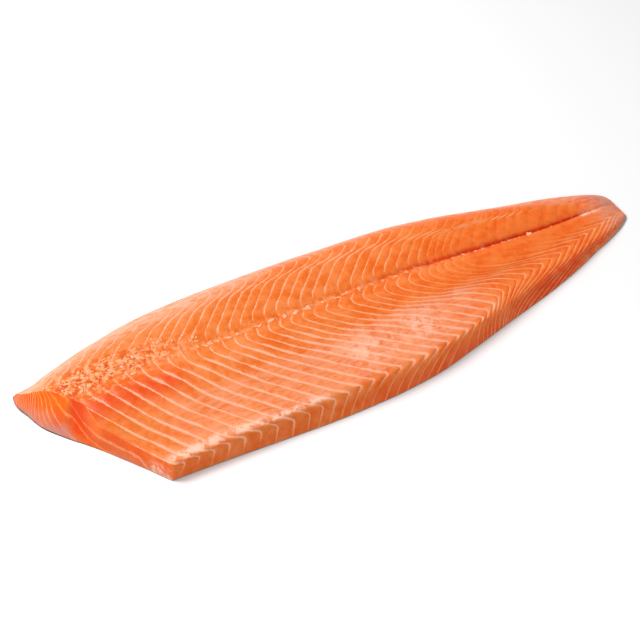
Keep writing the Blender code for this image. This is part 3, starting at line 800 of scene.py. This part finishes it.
def flake_spots():
    """x, share, size, turn, length and whiteness of each flake of tissue."""
    chance = np.random.default_rng(17)
    spots = []
    for x, size in zip(TUFT_X, TUFT_SIZE):
        for _ in range(4):
            spots.append([x + chance.normal(0, 1.3 * size), TUFT_SHARE + chance.normal(0, 0.004),
                          size * chance.uniform(0.8, 1.6), chance.normal(0, 0.8), chance.uniform(0.7, 1.2),
                          chance.uniform(0.0, 0.25) + 0.30 * size])
    while len(spots) < 4 * len(TUFT_X) + TORN_FLAKES:
        x = chance.uniform(-268, -100)
        share = chance.normal(0.37, 0.065)
        if chance.random() < torn_zone(np.array(x), np.array(share)):
            spots.append([x, share, chance.uniform(0.8, 1.7), chance.uniform(0, 3.1),
                          chance.uniform(0.8, 1.5), chance.uniform(-0.2, 0.45)])
    spots = np.array(spots)
    place = top_point(spots[:, 0], spots[:, 1])
    return spots[place[:, 0] > cut_place(place[:, 1], place[:, 2]) + 1.0]


def line_number(x, share):
    """Count of the white lines at places on the upper face."""
    numbers = np.arange(FIRST_LINE, END_LINE, 0.25)
    places = line_places(numbers, share)
    return np.array([np.interp(x[i], places[:, i], numbers) for i in range(len(x))])


def make_tissue():
    """Small ragged flakes of white tissue, sunk a little into the flesh."""
    spots = flake_spots()
    x, share = spots[:, 0], spots[:, 1]
    flat = top_point(x, share)
    normal = surface_normal(x, share)
    centre = flat + normal * flesh_relief(flat, x, share, line_number(x, share))[:, None]
    bm = bmesh.new()
    whiteness = bm.verts.layers.float.new("whiteness")
    for k, (size, turn, length, white) in enumerate(spots[:, 2:]):
        made = bmesh.ops.create_icosphere(bm, subdivisions=2, radius=1.0)["verts"]
        up = Vector(normal[k])
        ahead = (Vector((1, 0, 0)) - up * up.x).normalized()
        basis = Matrix((ahead, up.cross(ahead), up)).transposed() @ Matrix.Rotation(turn, 3, "Z")
        round_points = np.array([v.co for v in made])
        bulge = 1 + 0.65 * lumps(round_points + 7.0 * k, 0.8, 31)
        half = FLAKE_HALF * size * np.array([length, 1.0, 1.0])
        for vertex, way, swell in zip(made, round_points * half, bulge):
            vertex.co = Vector(centred(centre[k])) + (basis @ Vector(way * swell)) * MM
            vertex[whiteness] = white
    mesh = mesh_from(bm, "white_tissue")
    mesh.materials.append(tissue_material("white_tissue"))
    mesh.shade_smooth()
    return linked("white_tissue", mesh)


def scale_relief(row, column):
    """Height of the overlapping scales at a place in the skin's mesh grid."""
    line = np.floor(column / SCALE_COLUMNS)
    across = column / SCALE_COLUMNS - line - 0.5
    shifted = row / SCALE_ROWS + 0.5 * (line % 2) + 0.9 * across ** 2
    return shifted - np.floor(shifted)


def skin_tables():
    """Points of the skin, out along the underside and back along the face that touches the flesh."""
    t = np.linspace(0.0, 1.0, SKIN_ROWS)
    x = HEAD_STOCK_X + (SKIN_TAIL_X - HEAD_STOCK_X) * (t + 0.06 * np.sin(np.pi * t) * t)
    shares = np.linspace(0.0, 1.0, SKIN_COLUMNS)
    inner = np.linspace(1.0, 0.0, SKIN_INNER_COLUMNS)
    rim = SKIN_RIM * ramp(x, 270, 320)
    outer_x, outer_share = np.meshgrid(x, shares, indexing="ij")
    outer_rim = np.repeat(rim[:, None], len(shares), axis=1)
    row, column = np.meshgrid(np.arange(len(x)), np.arange(len(shares)), indexing="ij")
    lift = scale_relief(row, column) * SCALE_HEIGHT
    fade = ramp(outer_share, 0.0, 0.03) * ramp(1 - outer_share, 0.0, 0.03) * ramp(SKIN_TAIL_X - outer_x, 0, 8)
    inset = (SCALE_HEIGHT - lift) * fade
    outer = under_point(outer_x.ravel(), outer_share.ravel(), inset.ravel(), outer_rim.ravel())
    outer = outer.reshape(len(x), len(shares), 3)
    inside = [under_point(x, np.full_like(x, s), SKIN_THICKNESS, rim) for s in inner]
    table = np.concatenate([outer, np.stack(inside, axis=1), outer[:, :1]], axis=1)
    along_map = (x - SKIN_MAP_START) / SKIN_MAP_LENGTH
    across_map = np.concatenate([shares, inner + 2, [0.0]])
    return table, {"skin_map": np.stack(np.meshgrid(along_map, across_map, indexing="ij"), axis=2)}


def make_skin(cutter):
    silver = skin_material("silver_skin")
    return cut_body("salmon_skin", skin_tables(), silver, cutter, skin_edge_material("skin_edge"))


# Materials

def feed(tree, node, inputs):
    """Fills inputs with numbers and colours, or links them to the sockets given."""
    for name, value in inputs.items():
        if isinstance(value, bpy.types.NodeSocket):
            tree.links.new(value, node.inputs[name])
        else:
            node.inputs[name].default_value = value


def add(tree, kind, inputs=None, **settings):
    """New node with its settings and inputs."""
    made = tree.nodes.new(kind)
    for name, value in settings.items():
        setattr(made, name, value)
    feed(tree, made, inputs or {})
    return made


def work(tree, operation, a, b=0.0, clamp=False):
    return add(tree, "ShaderNodeMath", {0: a, 1: b}, operation=operation, use_clamp=clamp).outputs[0]


def times(tree, a, b, clamp=False):
    return work(tree, "MULTIPLY", a, b, clamp)


def plus(tree, a, b, clamp=False):
    return work(tree, "ADD", a, b, clamp)


def blend(tree, factor, a, b):
    """Mix of two colours."""
    return add(tree, "ShaderNodeMix", {0: factor, 6: a, 7: b}, data_type="RGBA").outputs[2]


def lay(tree, colour, over, *strengths):
    """Colour with another laid over it, as strongly as the product of the strengths."""
    strength = strengths[0]
    for factor in strengths[1:]:
        strength = times(tree, strength, factor)
    return blend(tree, strength, colour, over)


def fade(tree, value, low, high, start=0.0, end=1.0):
    """Smooth step of a value from start to end."""
    made = add(tree, "ShaderNodeMapRange", {0: value, 1: low, 2: high, 3: start, 4: end},
               interpolation_type="SMOOTHSTEP")
    return made.outputs[0]


def speckle(tree, vector, scale, detail=2.0, roughness=0.5, stretch=None):
    """Noise at a scale in lumps per metre; stretch scales its axes first."""
    if stretch:
        vector = add(tree, "ShaderNodeMapping", {"Vector": vector, "Scale": stretch}).outputs[0]
    made = add(tree, "ShaderNodeTexNoise", {"Vector": vector, "Scale": scale, "Detail": detail,
                                            "Roughness": roughness})
    return made.outputs[0]


def sway(tree, vector, scale, reach, detail=2.0):
    """Noise around zero."""
    return times(tree, work(tree, "SUBTRACT", speckle(tree, vector, scale, detail), 0.5), reach)


def axis(tree, vector, index):
    """One coordinate of a vector."""
    return add(tree, "ShaderNodeSeparateXYZ", {0: vector}).outputs[index]


def object_place(tree):
    return add(tree, "ShaderNodeTexCoord").outputs["Object"]


def map_axis(tree, uv_map, index):
    return axis(tree, add(tree, "ShaderNodeUVMap", uv_map=uv_map).outputs[0], index)


def new_group(name, inputs, outputs):
    """Shader node group with the named sockets; returns it with its input and output nodes."""
    group = bpy.data.node_groups.new(name, "ShaderNodeTree")
    for socket, kind in inputs.items():
        group.interface.new_socket(socket, in_out="INPUT", socket_type=kind)
    for socket, kind in outputs.items():
        group.interface.new_socket(socket, in_out="OUTPUT", socket_type=kind)
    return group, group.nodes.new("NodeGroupInput").outputs, group.nodes.new("NodeGroupOutput").inputs


def white_line_group():
    """Mask of the white lines from the line number, with a wavering edge."""
    group, given, result = new_group(
        "white_lines",
        {"Number": "NodeSocketFloat", "Half Width": "NodeSocketFloat", "Waver": "NodeSocketFloat",
         "Softness": "NodeSocketFloat", "Vector": "NodeSocketVector"},
        {"Line": "NodeSocketFloat", "Glow": "NodeSocketFloat"})
    place = given["Vector"]
    swing = plus(group, sway(group, place, 90.0, 1.2), sway(group, place, 420.0, 1.7))
    shift = times(group, swing, given["Waver"])
    turned = work(group, "FRACT", plus(group, plus(group, given["Number"], shift), 100.5))
    away = work(group, "ABSOLUTE", work(group, "SUBTRACT", turned, 0.5))
    swell = fade(group, speckle(group, place, 75.0), 0.34, 0.66, 0.50, 1.35)
    half = times(group, given["Half Width"], plus(group, swell, sway(group, place, 330.0, 1.0)))
    inner = times(group, half, work(group, "SUBTRACT", 1.0, given["Softness"]))
    outer = times(group, half, plus(group, 1.0, given["Softness"]))
    group.links.new(fade(group, away, inner, outer, 1.0, 0.0), result["Line"])
    group.links.new(fade(group, away, half, times(group, half, 3.5), 1.0, 0.0), result["Glow"])
    return group


def muscle_group():
    """Colour of the muscle between the lines, with its fibres and cloudy changes, taken towards the deep
    colour by the strength given for painted shade and deep flesh.
    """
    group, given, result = new_group(
        "muscle",
        {"Vector": "NodeSocketVector", "Bright": "NodeSocketColor", "Deep": "NodeSocketColor",
         "Pale": "NodeSocketColor", "Depth": "NodeSocketFloat"},
        {"Color": "NodeSocketColor", "Fibre": "NodeSocketFloat"})
    cloud = speckle(group, given["Vector"], 45.0, 3.0, 0.55)
    patch = speckle(group, given["Vector"], 170.0, 3.0, 0.6)
    fibre = speckle(group, given["Vector"], 900.0, 3.0, 0.6, stretch=(0.16, 1.0, 1.0))
    mixed = plus(group, times(group, cloud, 0.55), times(group, patch, 0.45))
    colour = blend(group, fade(group, mixed, 0.38, 0.66), given["Bright"], given["Pale"])
    colour = lay(group, colour, given["Pale"], fade(group, fibre, 0.42, 0.75), 0.22)
    hollows = times(group, fade(group, mixed, 0.52, 0.30), 0.30)
    # Painted shade: the given strength takes the muscle towards the deep colour
    shade_and_deepen = plus(group, given["Depth"], hollows, True)
    group.links.new(blend(group, shade_and_deepen, colour, given["Deep"]), result["Color"])
    group.links.new(fibre, result["Fibre"])
    return group


def attribute(tree, name):
    return add(tree, "ShaderNodeAttribute", attribute_name=name).outputs["Fac"]


def place_group(tree, name, inputs):
    return add(tree, "ShaderNodeGroup", inputs, node_tree=bpy.data.node_groups[name]).outputs


def new_material(name):
    material = bpy.data.materials.new(name)
    material.use_nodes = True
    tree = material.node_tree
    return material, tree, tree.nodes["Principled BSDF"]


def lay_lines(tree, vector, colour):
    """White lines over the muscle, broken here and there, with a faint glow beside them."""
    number = times(tree, work(tree, "SUBTRACT", map_axis(tree, "segments", 0), 0.5), NUMBER_RANGE)
    lines = place_group(tree, "white_lines", {
        "Number": number, "Half Width": attribute(tree, "line_half"), "Vector": vector,
        "Waver": attribute(tree, "line_waver"), "Softness": 0.40})
    pale_line = attribute(tree, "line_pale")
    broken = fade(tree, speckle(tree, vector, 190.0), 0.30, 0.48)
    kept = plus(tree, broken, times(tree, pale_line, 0.7), True)
    white = blend(tree, fade(tree, pale_line, 0.45, 0.95), CREAM_LINE, WHITE_LINE)
    colour = lay(tree, colour, white, lines["Glow"], pale_line, 0.14)
    return lay(tree, colour, white, lines["Line"], work(tree, "POWER", pale_line, 0.7), kept)


def lay_films(tree, vector, colour, film_colour):
    """Fat, then the streaky film, then the grey film over the flesh, which on the cut face also lays painted
    shade.
    """
    blotch = times(tree, speckle(tree, vector, 105.0), 0.5)
    crumble = times(tree, speckle(tree, vector, 330.0, 4.0, 0.65), 0.5)
    fat_noise = fade(tree, plus(tree, blotch, crumble), 0.45, 0.56)
    fat = times(tree, attribute(tree, "fat"), plus(tree, 0.15, fat_noise), True)
    colour = lay(tree, colour, FAT, fat)
    streaks = fade(tree, speckle(tree, vector, 380.0, 4.0, 0.6, stretch=(0.20, 1.0, 1.0)), 0.40, 0.56)
    streaky = plus(tree, 0.20, times(tree, streaks, 0.75))
    colour = lay(tree, colour, film_colour, attribute(tree, "film"), streaky)
    cloudy = fade(tree, speckle(tree, vector, 150.0, 3.0, 0.6), 0.32, 0.62, 0.45, 1.0)
    # The grey film carries painted shade on the lower part of the cut face
    return lay(tree, colour, GREY_FILM_AND_SHADE, attribute(tree, "grey"), cloudy)


def bumped(tree, height, strength, distance):
    """Normal with a fine relief."""
    inputs = {"Strength": strength, "Distance": distance, "Height": height}
    return add(tree, "ShaderNodeBump", inputs).outputs[0]


def flesh_material(name, on_cut):
    """Moist muscle with white lines; the cut face is the same flesh, cut across."""
    material, tree, shader = new_material(name)
    vector = object_place(tree)
    toward_tail = fade(tree, axis(tree, vector, 0), -0.16, 0.26)
    bright = blend(tree, toward_tail, BRIGHT_HEAD, BRIGHT_TAIL)
    pale = blend(tree, toward_tail, PALE_HEAD, PALE_TAIL)
    if on_cut:
        # Painted light on the upper part of the cut face
        lit = attribute(tree, "lit")
        bright = blend(tree, lit, CUT_BRIGHT, CUT_LIT)
        pale = blend(tree, lit, CUT_PALE, CUT_LIT_PALE)
    # The deep colour doubles as painted shade, at the strength kept on the mesh
    muscle = place_group(tree, "muscle", {
        "Vector": vector, "Bright": bright, "Deep": DEEP_FLESH_AND_SHADE, "Pale": pale,
        "Depth": attribute(tree, "deep")})
    colour = lay_lines(tree, vector, muscle["Color"])
    if not on_cut:
        rag = speckle(tree, vector, 200.0, 4.0, 0.6)
        strong = times(tree, attribute(tree, "torn"), 1.3, True)
        colour = lay(tree, colour, TORN_GAP, fade(tree, rag, 0.48, 0.42), strong)
        colour = lay(tree, colour, TORN_FLECK, fade(tree, rag, 0.54, 0.58), strong)
    colour = lay_films(tree, vector, colour, CUT_FILM if on_cut else BACK_FILM)
    grain = times(tree, speckle(tree, vector, 520.0, 3.0), 0.8)
    height = plus(tree, times(tree, muscle["Fibre"], 0.5), grain)
    feed(tree, shader, {
        "Base Color": colour,
        "Roughness": plus(tree, 0.34, times(tree, speckle(tree, vector, 300.0, 3.0), 0.22)),
        "Normal": bumped(tree, height, 0.35, 0.0005)})
    feed(tree, shader, FLESH_GLOSS)
    return material


def tissue_material(name):
    """White tissue, stained with the flesh's colour in places."""
    material, tree, shader = new_material(name)
    cloud = fade(tree, speckle(tree, object_place(tree), 420.0, 3.0, 0.6), 0.36, 0.62, -0.25, 0.25)
    white = plus(tree, attribute(tree, "whiteness"), cloud, True)
    feed(tree, shader, FLESH_GLOSS)
    feed(tree, shader, {
        "Base Color": blend(tree, white, TISSUE_STAIN, TISSUE_WHITE), "Roughness": 0.45,
        "Subsurface Weight": 0.0, "Coat Weight": 0.0})
    return material


def skin_material(name):
    """Wet silver skin: dark along the back, pale along the belly, with small scales."""
    material, tree, shader = new_material(name)
    vector = object_place(tree)
    share = map_axis(tree, "skin_map", 1)
    back = fade(tree, plus(tree, share, sway(tree, vector, 60.0, 0.20, 3.0)), 0.50, 0.92)
    silver = blend(tree, back, SKIN_SILVER, SKIN_BACK)
    colour = blend(tree, fade(tree, share, 0.30, 0.02), silver, SKIN_BELLY)
    colour = lay(tree, colour, SKIN_GLINT, fade(tree, speckle(tree, vector, 700.0), 0.45, 0.70), 0.25)
    cells = add(tree, "ShaderNodeTexVoronoi", {"Vector": vector, "Scale": 62.0, "Randomness": 1.0})
    spot = fade(tree, cells.outputs["Distance"], 0.26, 0.16)
    on_back = fade(tree, share, 0.62, 0.72)
    outside = fade(tree, share, 1.5, 1.4)
    colour = lay(tree, colour, SKIN_SPOT, spot, on_back, outside, 0.8)
    lining = blend(tree, fade(tree, axis(tree, vector, 0), 0.22, 0.26), LINING, LINING_TAIL)
    feed(tree, shader, {
        "Base Color": blend(tree, fade(tree, share, 1.4, 1.6), colour, lining),
        "Roughness": plus(tree, 0.22, times(tree, speckle(tree, vector, 250.0), 0.25)),
        "Normal": bumped(tree, speckle(tree, vector, 900.0), 0.2, 0.0003),
        "Metallic": 0.15, "Coat Weight": 0.4, "Coat Roughness": 0.12})
    return material


def skin_edge_material(name):
    """Thickness of the skin where it is cut: dark at the back, pale towards the belly."""
    material, tree, shader = new_material(name)
    vector = object_place(tree)
    dark = plus(tree, axis(tree, vector, 1), times(tree, speckle(tree, vector, 120.0), 0.02))
    colour = blend(tree, fade(tree, dark, -0.05, 0.02), SKIN_EDGE_BELLY, SKIN_EDGE_BACK)
    feed(tree, shader, {"Base Color": colour, "Roughness": 0.4})
    return material


# Stage, light and camera

def make_floor():
    """Pale ground that the fillet lies on."""
    bm = bmesh.new()
    bmesh.ops.create_grid(bm, x_segments=1, y_segments=1, size=FLOOR_HALF)
    floor = linked("floor", mesh_from(bm, "floor"))
    material, tree, shader = new_material("pale_floor")
    feed(tree, shader, {"Base Color": FLOOR_COLOUR, "Roughness": 0.7, "Specular IOR Level": 0.2})
    floor.data.materials.append(material)


def soft_light(name, place, size, power):
    """Lamp with a flat shade, turned towards the middle of the fillet."""
    lamp = bpy.data.lights.new(name, "AREA")
    lamp.shape = "RECTANGLE"
    lamp.size, lamp.size_y = size
    lamp.energy = power
    holder = linked(name, lamp)
    holder.location = place
    holder.rotation_euler = (-Vector(place)).to_track_quat("-Z", "Y").to_euler()


def light_studio():
    """Even white sky and the two lamps."""
    world = bpy.data.worlds.new("studio")
    bpy.context.scene.world = world
    world.use_nodes = True
    sky = world.node_tree.nodes["Background"]
    feed(world.node_tree, sky, {"Color": (1, 1, 1, 1), "Strength": SKY_STRENGTH})
    for name, (place, size, power) in LAMPS.items():
        soft_light(name, place, size, power)
    bpy.context.scene.view_settings.view_transform = "Standard"


def place_camera():
    """Camera of the photograph."""
    elevation = math.radians(CAMERA_ELEVATION)
    azimuth = math.radians(CAMERA_AZIMUTH)
    level = Vector((math.sin(azimuth), math.cos(azimuth), 0))
    right = Vector((math.cos(azimuth), -math.sin(azimuth), 0))
    forward = level * math.cos(elevation) - Vector((0, 0, 1)) * math.sin(elevation)
    target = Vector((-CENTRE_X, -CENTRE_Y, 0)) * MM
    lens = bpy.data.cameras.new("camera")
    lens.lens = CAMERA_LENS
    lens.sensor_width = CAMERA_SENSOR
    holder = linked("camera", lens)
    turn = Matrix((right, right.cross(forward), -forward)).transposed().to_4x4()
    turn.translation = target - forward * CAMERA_DISTANCE
    holder.matrix_world = turn
    bpy.context.scene.camera = holder


def build():
    """The three pieces with what they ride on, then the stage."""
    white_line_group()
    muscle_group()
    face_blade = blade("face_blade", True)
    plain_blade = blade("plain_blade", False)
    flesh = make_flesh(face_blade)
    skin = make_skin(plain_blade)
    tissue = make_tissue()
    for cutter in (face_blade, plain_blade):
        bpy.data.objects.remove(cutter, do_unlink=True)
    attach(flesh, "root")
    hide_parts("flesh")
    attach(skin, "root")
    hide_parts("skin")
    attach(tissue, "root")
    make_floor()
    light_studio()
    place_camera()


build()
